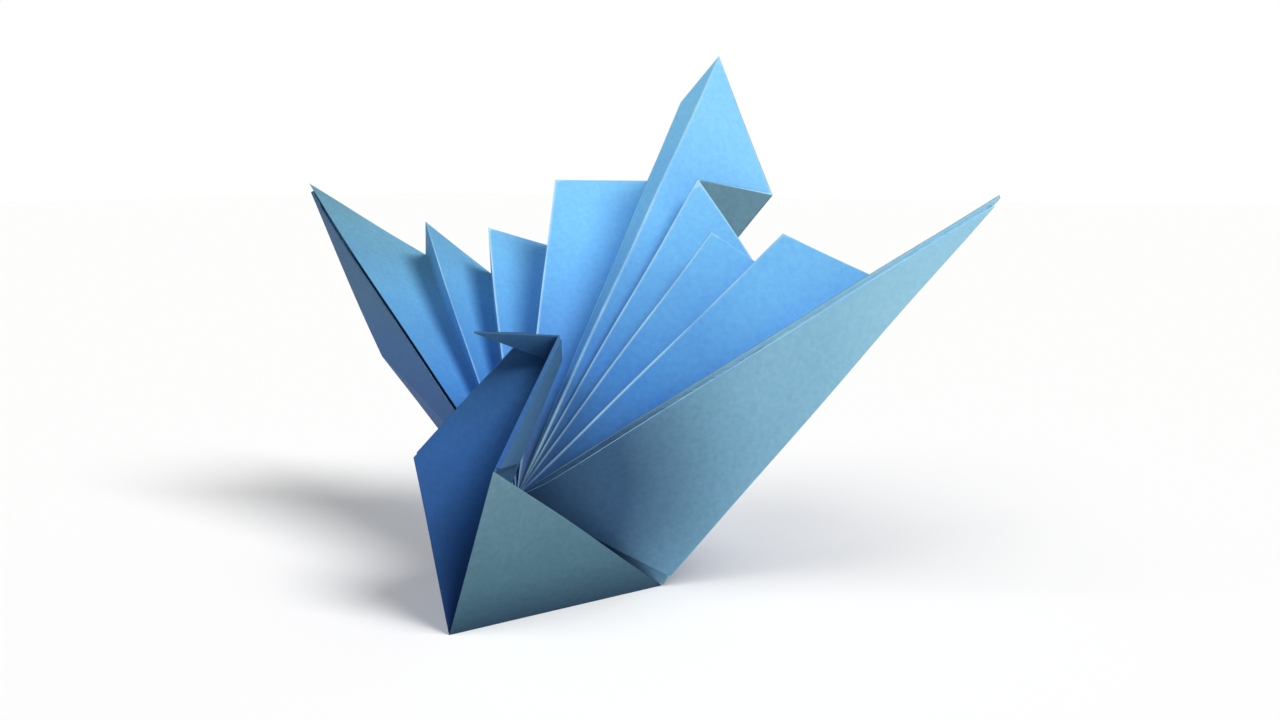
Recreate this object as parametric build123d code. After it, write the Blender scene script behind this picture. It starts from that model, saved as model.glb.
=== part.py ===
from build123d import *
import os
from math import cos, radians, sin

# An origami peacock: one square sheet of paper, folded into a body, a neck, a head and a pleated fan.
# All lengths are in millimetres. +Z is up, the beak points to -Y and +X is the bird's left.
# The sheet is laid out as the middle of the paper's thickness and given its thickness at the end.

# The sheet
sheet_side = 150.0
paper_thickness = 0.2
fold_gap = 0.7
fold_reach_limit_share = 0.25
corner_search_rounds = 800

# The body: two walls rise from a flat triangular base that points forward
base_length = 43.0
base_half_width = 16.5
shoulder_half_width = 9.7
shoulder_back = 1.9
shoulder_height = 31.0

# The neck is a trough that opens forward, with its spine at the rear, and the head is its tip turned forward
crown_half_width = 3.8
crown_back = 26.9
crown_height = 51.4
nape_back = 31.6
nape_height = 45.1
beak_back = 8.1
beak_height = 53.9

# The point where all creases of the fan meet, at the middle of the sheet, is worn through
pivot_back = 18.3
pivot_height = 21.3
worn_hole_radius = 3.5

# Creases of the fan from the bird's left to its right, ridges and valleys in turn: the crease's length as a share
# of half the sheet's side, then in degrees how far it is spread to the left and how far it leans back
fan_creases = [
    (1.414, 43.0, 43.5),
    (1.12, 43.0, 51.5),
    (0.955, 30.5, 37.5),
    (0.88, 30.5, 44.0),
    (0.855, 19.0, 36.5),
    (0.88, 24.5, 46.0),
    (1.0, 9.5, 37.0),
    (1.145, 13.5, 48.0),
    (1.414, 3.5, 36.0),
    (1.275, -0.5, 37.5),
    (1.19, -9.5, 48.0),
    (1.065, -19.5, 38.0),
    (1.02, -26.0, 51.0),
    (1.0, -33.5, 39.5),
    (1.015, -38.5, 52.0),
    (1.1, -43.0, 35.0),
    (1.165, -47.5, 46.0),
    (1.414, -53.5, 23.5),
]

# Edges turned over onto the front of a panel, as shares of the folded edge's length
turned_edge_start_share = 0.03
turned_edge_end_share = 0.98
side_hem_share = 0.02
neck_hem_share = 0.8
neck_hem_foot_share = 0.62

# The panel along the outer edge bulges outward on the bird's right
outer_bulge_share = 0.55
right_outer_bulge = 5.0


def mirrored(point):
    return Vector(-point.X, point.Y, point.Z)


def between(start, end, share):
    return start + (end - start) * share


def crease_end(pivot, length_share, spread, lean):
    toward = Vector(
        sin(radians(spread)),
        cos(radians(spread)) * sin(radians(lean)),
        cos(radians(spread)) * cos(radians(lean)),
    )
    return pivot + toward * (sheet_side / 2 * length_share)


class FoldedSheet:
    """Flat panels that share corners. Corners run anticlockwise as seen from the side that the fan shows."""

    def __init__(self):
        self.corners = {}
        self.panels = []

    def corner(self, name, point):
        self.corners[name] = point
        return name

    def panel(self, *names):
        for second, third in zip(names[1:-1], names[2:]):
            self.panels.append((names[0], second, third))

    def normal(self, names):
        first, second, third = (self.corners[name] for name in names)
        return (second - first).cross(third - first).normalized()

    def turned_edge(self, name, edge, owner, inner):
        """Turns the paper over along an edge, onto the shown side of its panel, as far as the inner points."""
        gap = self.normal(owner) * fold_gap
        turned = [self.corner(name + "_" + corner, self.corners[corner] + gap) for corner in edge]
        ends = [
            self.corner(name + "_inner_" + str(index), point + gap) for index, point in enumerate(inner)
        ]
        for index in range(len(edge) - 1):
            self.panel(edge[index + 1], edge[index], turned[index], turned[index + 1])
        self.panel(ends[-1], *reversed(turned), *ends[:-1])

    def clear_direction(self, name):
        """Direction from a corner that lies on the shown side of every panel round it, and its worst cosine."""
        normals = [self.normal(panel) for panel in self.panels if name in panel]
        centre = sum(normals, Vector()) / len(normals)
        for count in range(2, corner_search_rounds):
            worst = min(normals, key=lambda normal: normal.dot(centre))
            centre = centre + (worst - centre) / count
        direction = centre.normalized()
        return direction, min(normal.dot(direction) for normal in normals)

    def solid(self, resting):
        """The sheet with its thickness, with the resting corners level on the ground."""
        upper = {}
        lower = {}
        half = paper_thickness / 2
        for name, point in self.corners.items():
            direction, cosine = self.clear_direction(name)
            offset = direction * (half / max(cosine, fold_reach_limit_share))
            upper[name] = point + offset
            lower[name] = point - offset
            if name in resting:
                lower[name] = Vector(lower[name].X, lower[name].Y, point.Z - half)
        faces = []
        edges = {}
        for panel in self.panels:
            first, second, third = panel
            faces.append([upper[first], upper[second], upper[third]])
            faces.append([lower[first], lower[third], lower[second]])
            for edge in ((first, second), (second, third), (third, first)):
                edges[edge] = True
        for start, end in edges:
            if (end, start) not in edges:
                faces.append([upper[start], lower[start], lower[end]])
                faces.append([upper[start], lower[end], upper[end]])
        skin = [Face(Wire.make_polygon(points, close=True)) for points in faces]
        return Solid(Shell(skin))


def build_sheet():
    sheet = FoldedSheet()
    ground = paper_thickness / 2
    origin_back = base_length * 2 / 3

    def place(side, back, height):
        return Vector(side, back - origin_back, height + ground)

    front = place(0, 0, 0)
    rear_left = place(base_half_width, base_length, 0)
    pivot = place(0, pivot_back, pivot_height)
    shoulder = place(shoulder_half_width, shoulder_back, shoulder_height)
    crown = place(crown_half_width, crown_back, crown_height)
    nape = place(0, nape_back, nape_height)
    beak = place(0, beak_back, beak_height)

    sheet.corner("front", front)
    sheet.corner("nape", nape)
    sheet.corner("beak", beak)
    for side, place_on in (("left", lambda point: point), ("right", mirrored)):
        sheet.corner("rear_" + side, place_on(rear_left))
        sheet.corner("shoulder_" + side, place_on(shoulder))
        sheet.corner("crown_" + side, place_on(crown))
    points = sheet.corners

    def hole_toward(name):
        toward = (points[name] - pivot).normalized()
        return sheet.corner("hole_" + name, pivot + toward * worn_hole_radius)

    # Fan
    rim = [
        sheet.corner("rim_" + str(index), crease_end(pivot, *crease)) for index, crease in enumerate(fan_creases)
    ]
    hole = [hole_toward(name) for name in rim]
    for index in range(len(rim) - 1):
        sheet.panel(hole[index], rim[index], rim[index + 1], hole[index + 1])
    tips = {"left": (rim[0], hole[0]), "right": (rim[-1], hole[-1])}

    # Body: the base, the slope from its rear edge up to the pivot, and the walls
    sheet.panel("rear_left", "rear_right", "front")
    sheet.panel(hole_toward("rear_right"), "rear_right", "rear_left", hole_toward("rear_left"))
    spine_foot = between(front, nape, neck_hem_foot_share)
    for side in ("left", "right"):
        rear, shoulder_name, crown_name = "rear_" + side, "shoulder_" + side, "crown_" + side
        hole_rear = "hole_" + rear
        tip, hole_tip = tips[side]

        def split(name, start, end, share):
            return sheet.corner(name + "_" + side, between(points[start], points[end], share))

        outer_low = split("outer_low", rear, tip, turned_edge_start_share)
        outer_middle = split("outer_middle", rear, tip, outer_bulge_share)
        outer_high = split("outer_high", rear, tip, turned_edge_end_share)
        if side == "right":
            outward = sheet.normal((tip, rear, hole_rear))
            sheet.corner(outer_middle, points[outer_middle] + outward * right_outer_bulge)
        neck_low = split("neck_low", shoulder_name, crown_name, turned_edge_start_share)
        neck_high = split("neck_high", shoulder_name, crown_name, turned_edge_end_share)
        outer = [hole_rear, rear, outer_low, outer_middle, outer_high, tip, hole_tip]
        wall = ["front", shoulder_name, rear]
        throat = [shoulder_name, "front", "nape"]
        neck = ["nape", crown_name, neck_high, neck_low, shoulder_name]
        cheek = [crown_name, "nape", "beak"]
        for panel in (outer, wall, throat, neck, cheek):
            sheet.panel(panel[0], *(panel[1:] if side == "left" else reversed(panel[1:])))

        edges = [
            (
                "outer_turn_" + side,
                [outer_low, outer_middle, outer_high],
                [hole_rear, rear, tip],
                [between(pivot, points[rear], side_hem_share)],
            ),
            (
                "neck_turn_" + side,
                [neck_high, neck_low],
                ["nape", crown_name, shoulder_name],
                [
                    between(points[neck_high], nape, neck_hem_share),
                    between(points[neck_low], spine_foot, neck_hem_share),
                ],
            ),
        ]
        for name, edge, owner, inner in edges:
            if side == "left":
                sheet.turned_edge(name, edge, owner, inner)
            else:
                sheet.turned_edge(name, edge[::-1], owner[::-1], inner[::-1])
    return sheet


sheet = build_sheet()
folded_sheet = sheet.solid(resting=("front", "rear_left", "rear_right"))
os.makedirs("parts", exist_ok=True)
export_step(folded_sheet, "parts/folded_sheet.step")
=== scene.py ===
import math

import bmesh
import bpy
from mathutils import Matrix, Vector, noise
from mathutils.bvhtree import BVHTree


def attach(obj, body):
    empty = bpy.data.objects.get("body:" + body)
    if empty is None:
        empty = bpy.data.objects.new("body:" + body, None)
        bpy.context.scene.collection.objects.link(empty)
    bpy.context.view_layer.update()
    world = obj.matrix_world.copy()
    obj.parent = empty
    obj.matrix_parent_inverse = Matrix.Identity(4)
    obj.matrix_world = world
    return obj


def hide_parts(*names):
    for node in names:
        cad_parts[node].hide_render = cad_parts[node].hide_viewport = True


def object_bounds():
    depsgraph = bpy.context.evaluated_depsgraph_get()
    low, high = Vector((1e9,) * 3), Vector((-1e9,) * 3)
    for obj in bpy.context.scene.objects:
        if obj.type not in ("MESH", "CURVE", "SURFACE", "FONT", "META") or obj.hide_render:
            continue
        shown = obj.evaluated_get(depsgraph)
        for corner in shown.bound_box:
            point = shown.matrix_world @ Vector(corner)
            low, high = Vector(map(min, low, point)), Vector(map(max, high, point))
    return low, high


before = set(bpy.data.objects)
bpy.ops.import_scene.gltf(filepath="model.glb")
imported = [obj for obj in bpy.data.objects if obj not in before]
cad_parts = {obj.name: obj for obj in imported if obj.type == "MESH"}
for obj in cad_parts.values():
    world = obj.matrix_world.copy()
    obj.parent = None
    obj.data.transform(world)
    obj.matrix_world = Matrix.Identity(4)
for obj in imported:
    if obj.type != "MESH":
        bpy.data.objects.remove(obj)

cad_box = [list(corner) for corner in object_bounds()]

MM = 0.001

# The fine mesh of the sheet
WELD_DISTANCE = 0.002 * MM
LONGEST_EDGE = 2.0 * MM
DIVISIONS = 6
FOLD_ANGLE = math.radians(20)
RAW_EDGE_BELOW = 0.45 * MM

# Slight waves, which fade out toward the foot
WAVE_HEIGHT = 0.5 * MM
WAVE_LENGTH = 34 * MM
WAVE_FADE_HEIGHT = 20 * MM
WAVE_SEED = 7

# Hems are pressed onto their panels
WIDEST_HEM_GAP = 0.62 * MM
PRESSED_GAP = 0.12 * MM
RAY_START = 0.02 * MM
FACING_BELOW = -0.97

# Where all creases meet, behind the spine of the neck, the worn sheet is drawn together
CREASE_CENTRE = Vector((0, -10.37, 21.4)) * MM
SPINE_FOOT = Vector((0, -28.67, 0.1)) * MM
SPINE_TOP = Vector((0, 2.93, 45.2)) * MM
CLEAR_OF_SPINE = 1.0 * MM
GATHERED_REACH = 8 * MM
HOLE_RADIUS = 3.5 * MM
GATHERED_RADIUS = 0.3 * MM

# Panels are told apart by the way they face and by where they lie
SIDEWARD_ABOVE = 0.3
UPWARD_BELOW = 0.15
FORWARD_ABOVE = 0.5
NECK_HALF_WIDTH = 10.5 * MM
SHOULDER_HEIGHT = 31 * MM
HEAD_HEIGHT = 54 * MM

# Tints of the fan and of the outer panel on the bird's left, from the crease centre out. Both hold painted
# shade, deep near the crease centre, and painted light, pale toward the tips
FAN_REACH = 106 * MM
FAN_TINTS_WITH_PAINTED_SHADE = [
    (0.1, (0.03, 0.10, 0.26)),
    (0.3, (0.06, 0.24, 0.60)),
    (0.6, (0.16, 0.49, 0.88)),
    (0.9, (0.23, 0.60, 0.91)),
]
# The outer panel's tint is a greyer teal, with painted shade deep near the crease centre and painted light
# pale toward the tip
OUTER_TINTS_WITH_PAINTED_SHADE = [
    (0.2, (0.04, 0.11, 0.22)),
    (0.45, (0.22, 0.46, 0.63)),
    (0.87, (0.35, 0.68, 0.88)),
]

# Tints of the wall and of the neck, from the foot up. Both are painted shade: dark at the foot, and the neck a
# deep indigo where its trough and the head keep the light off
WALL_TINTS_WITH_PAINTED_SHADE = [
    (0.0, (0.02, 0.06, 0.11)),
    (0.3, (0.066, 0.16, 0.215)),
    (1.0, (0.13, 0.26, 0.33)),
]
# The neck's deep indigo is painted shade inside the trough of the neck and under the head
NECK_PAINTED_SHADE_TINTS = [
    (0.0, (0.004, 0.03, 0.12)),
    (0.57, (0.021, 0.10, 0.30)),
    (0.85, (0.03, 0.12, 0.30)),
    (1.0, (0.045, 0.13, 0.26)),
]

# How much of the neck's painted shade its hem and the outer panel on the bird's right take, as these face away
# from the light
NECK_HEM_SHADE_SHARE = 0.6
RIGHT_OUTER_SHADE_SHARE = 0.95

# Painted shade: the fan gets duller and darker to the tip on the bird's right, the side away from the key
# light
RIGHT_WING_SHADE_SPAN = (-85 * MM, -20 * MM)
RIGHT_WING_PAINTED_SHADE_TINTS = [
    (0.0, (0.55, 0.47, 0.40)),
    (1.0, (1.0, 1.0, 1.0)),
]

# Speckles, and pale folds that are partly wear and partly painted highlight along lit ridges. Distances from a
# fold are counted in widths of its pale band of wear and highlight
BLOTCH_STRENGTH = 0.12
FIBRE_STRENGTH = 0.18
FOLD_WEAR_AND_HIGHLIGHT = 0.65 * MM
EDGE_WEAR_AND_HIGHLIGHT = 0.22 * MM
FAR_FROM_FOLDS = 10.0
PLAIN_PAPER_DISTANCE = 1.0
FULL_WEAR_AND_HIGHLIGHT_DISTANCE = 0.1
WEAR_AND_HIGHLIGHT_PATCHES = (0.2, 0.7)
WEAR_AND_HIGHLIGHT_TINT = (0.42, 0.70, 0.84)
FOLD_ROUNDING = 0.2 * MM
GRAIN_DEPTH = 0.1 * MM

# The stage, in metres
FLOOR_SIZE = 6
CAMERA_PLACE = (0.14595, -0.17754, 0.08265)
CAMERA_TURN = (math.radians(81), 0, math.radians(35))
CAMERA_NEAREST = 0.01


def node_tree(material):
    material.use_nodes = True
    nodes = material.node_tree.nodes
    nodes.clear()
    return nodes, material.node_tree.links


def paper_material():
    """Blue paper with fine fibres, with painted shade deepest near the crease centre, painted light paler to
    the tips, painted shade in the neck and on the bird's right wing, and pale folds that are partly wear and
    partly painted highlight.
    """
    material = bpy.data.materials.new("paper")
    nodes, links = node_tree(material)
    place = nodes.new("ShaderNodeTexCoord").outputs["Object"]
    along = nodes.new("ShaderNodeSeparateXYZ")
    links.new(place, along.inputs["Vector"])
    from_centre = nodes.new("ShaderNodeVectorMath")
    from_centre.operation = "DISTANCE"
    from_centre.inputs[1].default_value = CREASE_CENTRE
    links.new(place, from_centre.inputs[0])

    def speckles(scale, detail):
        texture = nodes.new("ShaderNodeTexNoise")
        texture.inputs["Scale"].default_value = scale
        texture.inputs["Detail"].default_value = detail
        links.new(place, texture.inputs["Vector"])
        return texture.outputs["Fac"]

    def marked(name):
        reader = nodes.new("ShaderNodeAttribute")
        reader.attribute_name = name
        return reader.outputs["Fac"]

    def share_of_way(value, start, end, interpolation="LINEAR"):
        way = nodes.new("ShaderNodeMapRange")
        way.interpolation_type = interpolation
        way.inputs["From Min"].default_value = start
        way.inputs["From Max"].default_value = end
        links.new(value, way.inputs["Value"])
        return way.outputs["Result"]

    def tint(share, stops):
        ramp = nodes.new("ShaderNodeValToRGB")
        elements = ramp.color_ramp.elements
        while len(elements) < len(stops):
            elements.new(1.0)
        for element, (position, colour) in zip(elements, stops):
            element.position = position
            element.color = (*colour, 1)
        links.new(share, ramp.inputs["Fac"])
        return ramp.outputs["Color"]

    def mixed(share, first, second, blend="MIX"):
        mix = nodes.new("ShaderNodeMix")
        mix.data_type = "RGBA"
        mix.blend_type = blend
        if isinstance(share, float):
            mix.inputs["Factor"].default_value = share
        else:
            links.new(share, mix.inputs["Factor"])
        links.new(first, mix.inputs["A"])
        if isinstance(second, tuple):
            mix.inputs["B"].default_value = (*second, 1)
        else:
            links.new(second, mix.inputs["B"])
        return mix.outputs["Result"]

    outward = share_of_way(from_centre.outputs["Value"], 0, FAN_REACH)
    up_wall = share_of_way(along.outputs["Z"], 0, SHOULDER_HEIGHT)
    up_neck = share_of_way(along.outputs["Z"], 0, HEAD_HEIGHT)
    from_right = share_of_way(along.outputs["X"], *RIGHT_WING_SHADE_SPAN)
    # Painted shade: the tints darken toward the crease centre, the foot, inside the neck and on the bird's
    # right wing
    colour = tint(outward, FAN_TINTS_WITH_PAINTED_SHADE)
    colour = mixed(1.0, colour, tint(from_right, RIGHT_WING_PAINTED_SHADE_TINTS), "MULTIPLY")
    colour = mixed(marked("outer"), colour, tint(outward, OUTER_TINTS_WITH_PAINTED_SHADE))
    colour = mixed(marked("wall"), colour, tint(up_wall, WALL_TINTS_WITH_PAINTED_SHADE))
    colour = mixed(marked("neck"), colour, tint(up_neck, NECK_PAINTED_SHADE_TINTS))
    blotches = speckles(scale=60, detail=5)
    fibres = speckles(scale=900, detail=4)
    colour = mixed(BLOTCH_STRENGTH, colour, blotches, "OVERLAY")
    colour = mixed(FIBRE_STRENGTH, colour, fibres, "OVERLAY")

    # Pale folds, partly wear and partly painted highlight on lit ridges
    wear_and_highlight_share = share_of_way(marked("fold_distance"), PLAIN_PAPER_DISTANCE, FULL_WEAR_AND_HIGHLIGHT_DISTANCE, "SMOOTHSTEP")
    patchy = nodes.new("ShaderNodeMath")
    patchy.operation = "MULTIPLY"
    links.new(wear_and_highlight_share, patchy.inputs[0])
    links.new(share_of_way(blotches, *WEAR_AND_HIGHLIGHT_PATCHES), patchy.inputs[1])
    colour = mixed(patchy.outputs["Value"], colour, WEAR_AND_HIGHLIGHT_TINT)

    rounded = nodes.new("ShaderNodeBevel")
    rounded.samples = 6
    rounded.inputs["Radius"].default_value = FOLD_ROUNDING
    grain = nodes.new("ShaderNodeBump")
    grain.inputs["Strength"].default_value = 0.16
    grain.inputs["Distance"].default_value = GRAIN_DEPTH
    links.new(fibres, grain.inputs["Height"])
    links.new(rounded.outputs["Normal"], grain.inputs["Normal"])
    shader = nodes.new("ShaderNodeBsdfPrincipled")
    shader.inputs["Roughness"].default_value = 0.62
    shader.inputs["Specular IOR Level"].default_value = 0.2
    links.new(colour, shader.inputs["Base Color"])
    links.new(grain.outputs["Normal"], shader.inputs["Normal"])
    output = nodes.new("ShaderNodeOutputMaterial")
    links.new(shader.outputs["BSDF"], output.inputs["Surface"])
    return material


def distance_to_edge(point, start, end):
    along = end - start
    share = max(0.0, min(1.0, (point - start).dot(along) / along.length_squared))
    return (point - start - along * share).length


def behind_spine(point):
    """How far a point lies behind the plane through the neck's spine, negative in front of it."""
    spine = (SPINE_TOP - SPINE_FOOT).normalized()
    return (point - SPINE_FOOT).dot(Vector((0, spine.z, -spine.y)))


def is_raw_edge(face):
    """Whether a face is one of the narrow ones along the paper's edge."""
    height = 2 * face.calc_area() / max(edge.calc_length() for edge in face.edges)
    return height < RAW_EDGE_BELOW


def waved(point):
    """The slight waves of folded paper, the same on both sides of the sheet."""
    return noise.noise_vector(point / WAVE_LENGTH) * WAVE_HEIGHT


def gathered(point):
    """Draws a point near the crease centre inward, so that the creases run together there."""
    away = point - CREASE_CENTRE
    if away.length > GATHERED_REACH or behind_spine(point) < CLEAR_OF_SPINE:
        return point
    pull = (GATHERED_REACH - GATHERED_RADIUS) / (GATHERED_REACH - HOLE_RADIUS)
    distance = max(GATHERED_RADIUS, GATHERED_REACH - (GATHERED_REACH - away.length) * pull)
    return CREASE_CENTRE + away.normalized() * distance


def pressed(vert, surface):
    """How far a point moves so that two layers that face each other closely lie on each other."""
    move = Vector()
    for face in vert.link_faces:
        toward = face.normal
        _, facing, _, gap = surface.ray_cast(vert.co + toward * RAY_START, toward, WIDEST_HEM_GAP)
        if gap and facing.dot(toward) < FACING_BELOW and gap > PRESSED_GAP:
            step = toward * ((gap - PRESSED_GAP) / 2)
            if step.length > move.length:
                move = step
    return move


def number_panels(sheet, folds):
    """Gives all faces that no fold parts from each other the same number."""
    panel_of = sheet.faces.layers.int.new("panel")
    parting = set(folds)
    panel_count = 0
    for first in sheet.faces:
        if first[panel_of]:
            continue
        panel_count += 1
        first[panel_of] = panel_count
        waiting = [first]
        while waiting:
            face = waiting.pop()
            for edge in face.edges:
                if edge in parting:
                    continue
                for other in edge.link_faces:
                    if not other[panel_of]:
                        other[panel_of] = panel_count
                        waiting.append(other)
    return panel_of


def mark_tints_and_painted_shade(sheet):
    """Marks how far each face takes the tints of the outer panel, the wall and the neck, which carry painted
    shade.
    """
    outer, wall, neck = (sheet.faces.layers.float.new(name) for name in ("outer", "wall", "neck"))
    for face in sheet.faces:
        middle = face.calc_center_median()
        leftward, forward, upward = face.normal.x, -face.normal.y, face.normal.z
        leans_left = leftward > SIDEWARD_ABOVE and upward < UPWARD_BELOW
        leans_right = leftward < -SIDEWARD_ABOVE and upward < UPWARD_BELOW
        in_neck = behind_spine(middle) < CLEAR_OF_SPINE and abs(middle.x) < NECK_HALF_WIDTH
        neck_hem = in_neck and leans_left and forward <= 0
        faces_inward = leftward * middle.x < 0
        below_fan = min(vert.co.z for vert in face.verts) < CREASE_CENTRE.z
        # These marks place painted shade: dark toward the crease centre and foot, inside the neck, and on
        # panels facing away from the light
        face[outer] = float(leans_left and forward > FORWARD_ABOVE)
        face[wall] = float(neck_hem or (leans_left and 0 < forward <= FORWARD_ABOVE))
        if neck_hem:
            face[neck] = NECK_HEM_SHADE_SHARE
        elif leans_right and forward > FORWARD_ABOVE and below_fan and not in_neck:
            face[neck] = RIGHT_OUTER_SHADE_SHARE
        else:
            face[neck] = float(in_neck and (faces_inward or middle.z > SHOULDER_HEIGHT))
    marks = (outer, wall, neck)

    # A raw edge has the tint of the panel beside it
    for face in filter(is_raw_edge, sheet.faces):
        around = [other for edge in face.edges for other in edge.link_faces if not is_raw_edge(other)]
        for mark in marks:
            face[mark] = max((other[mark] for other in around), default=face[mark])
    return marks


def pale_worn_and_highlit_edges(folds, panel_of, marks):
    """Convex ridges drawn pale, partly wear and partly painted highlight, left off the shaded body: for each
    panel's number a list of start, end and width of the pale band.
    """
    outer, wall, neck = marks
    wear_and_highlight_edges = {}
    for edge in folds:
        # Folds on the shaded body get no pale line, as that line is partly painted highlight
        on_body = any(face[wall] or face[neck] for face in edge.link_faces)
        on_outer = any(face[outer] for face in edge.link_faces)
        raw = any(is_raw_edge(face) for face in edge.link_faces)
        if edge.calc_face_angle_signed() <= 0 or on_body or (on_outer and raw):
            continue
        width = EDGE_WEAR_AND_HIGHLIGHT if on_outer or raw else FOLD_WEAR_AND_HIGHLIGHT
        start, end = (vert.co.copy() for vert in edge.verts)
        for face in edge.link_faces:
            wear_and_highlight_edges.setdefault(face[panel_of], []).append((start, end, width))
    return wear_and_highlight_edges


def divide(sheet):
    """Divides the sheet into small triangles."""
    for _ in range(DIVISIONS):
        long_edges = [edge for edge in sheet.edges if edge.calc_length() > LONGEST_EDGE]
        bmesh.ops.subdivide_edges(sheet, edges=long_edges, cuts=1)
        bmesh.ops.triangulate(sheet, faces=[face for face in sheet.faces if len(face.verts) > 3])


def record_wear_and_highlight(sheet, panel_of, wear_and_highlight_edges):
    """Gives each point its distance from the nearest pale edge of its panels, in widths of its wear and
    painted highlight.
    """
    fold_distance = sheet.verts.layers.float.new("fold_distance")
    for vert in sheet.verts:
        nearest = FAR_FROM_FOLDS
        for panel in {face[panel_of] for face in vert.link_faces}:
            for start, end, width in wear_and_highlight_edges.get(panel, []):
                nearest = min(nearest, distance_to_edge(vert.co, start, end) / width)
        vert[fold_distance] = nearest


def shape(sheet):
    """Presses the hems, draws the creases together and adds the waves."""
    surface = BVHTree.FromBMesh(sheet)
    moves = [pressed(vert, surface) for vert in sheet.verts]
    for vert, move in zip(sheet.verts, moves):
        vert.co = gathered(vert.co + move)
    noise.seed_set(WAVE_SEED)
    ground = cad_box[0][2]
    for vert in sheet.verts:
        share = min(1.0, (vert.co.z - ground) / WAVE_FADE_HEIGHT)
        vert.co += waved(vert.co) * share
    sheet.normal_update()


def paper_sheet(source):
    """A finely divided copy of the CAD sheet, with waves, sharp folds and marks for its tints, which carry
    painted shade, and for its wear and painted highlight.
    """
    sheet = bmesh.new()
    sheet.from_mesh(source.data)
    bmesh.ops.remove_doubles(sheet, verts=sheet.verts, dist=WELD_DISTANCE)
    folds = [edge for edge in sheet.edges if edge.is_manifold and edge.calc_face_angle() > FOLD_ANGLE]
    panel_of = number_panels(sheet, folds)
    marks = mark_tints_and_painted_shade(sheet)
    wear_and_highlight_edges = pale_worn_and_highlit_edges(folds, panel_of, marks)
    divide(sheet)
    record_wear_and_highlight(sheet, panel_of, wear_and_highlight_edges)
    shape(sheet)
    for face in sheet.faces:
        face.smooth = True
    for edge in sheet.edges:
        edge.smooth = edge.calc_face_angle(0) < FOLD_ANGLE
    mesh = bpy.data.meshes.new("folded_paper")
    sheet.to_mesh(mesh)
    sheet.free()
    piece = bpy.data.objects.new("folded_paper", mesh)
    bpy.context.collection.objects.link(piece)
    return piece


def add_sun(name, toward, spread, strength):
    light = bpy.data.lights.new(name, "SUN")
    light.angle = math.radians(spread)
    light.energy = strength
    holder = bpy.data.objects.new(name, light)
    holder.rotation_euler = Vector(toward).to_track_quat("Z", "Y").to_euler()
    bpy.context.collection.objects.link(holder)


# Paper
paper = paper_sheet(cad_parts["folded_sheet"])
paper.data.materials.append(paper_material())
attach(paper, "root")
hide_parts("folded_sheet")

# Floor
bpy.ops.mesh.primitive_plane_add(size=FLOOR_SIZE)
floor = bpy.context.object
floor.name = "floor"
floor_material = bpy.data.materials.new("floor")
nodes, links = node_tree(floor_material)
output = nodes.new("ShaderNodeOutputMaterial")
matte = nodes.new("ShaderNodeBsdfDiffuse")
matte.inputs["Color"].default_value = (0.95, 0.945, 0.94, 1)
links.new(matte.outputs["BSDF"], output.inputs["Surface"])
floor.data.materials.append(floor_material)

# Light: a white backdrop that lights the scene less than the camera sees of it, and two soft suns
world = bpy.data.worlds.new("studio")
bpy.context.scene.world = world
world.use_nodes = True
nodes, links = world.node_tree.nodes, world.node_tree.links
backdrop = nodes["Background"]
backdrop.inputs["Color"].default_value = (1.0, 1.0, 1.0, 1)
seen = nodes.new("ShaderNodeLightPath")
brightness = nodes.new("ShaderNodeMix")
brightness.inputs["A"].default_value = 0.14
brightness.inputs["B"].default_value = 1.0
links.new(seen.outputs["Is Camera Ray"], brightness.inputs["Factor"])
links.new(brightness.outputs["Result"], backdrop.inputs["Strength"])
add_sun("key", toward=(0.62, 0.0, 0.77), spread=30, strength=2.5)
add_sun("fill", toward=(-0.2, -0.55, 0.81), spread=40, strength=1.1)

# Camera
camera = bpy.data.objects.new("camera", bpy.data.cameras.new("camera"))
camera.location = CAMERA_PLACE
camera.rotation_euler = CAMERA_TURN
camera.data.sensor_width = 36
camera.data.lens = 33.75
camera.data.clip_start = CAMERA_NEAREST
bpy.context.collection.objects.link(camera)
bpy.context.scene.camera = camera
bpy.context.scene.view_settings.view_transform = "Standard"

bpy.context.view_layer.update()
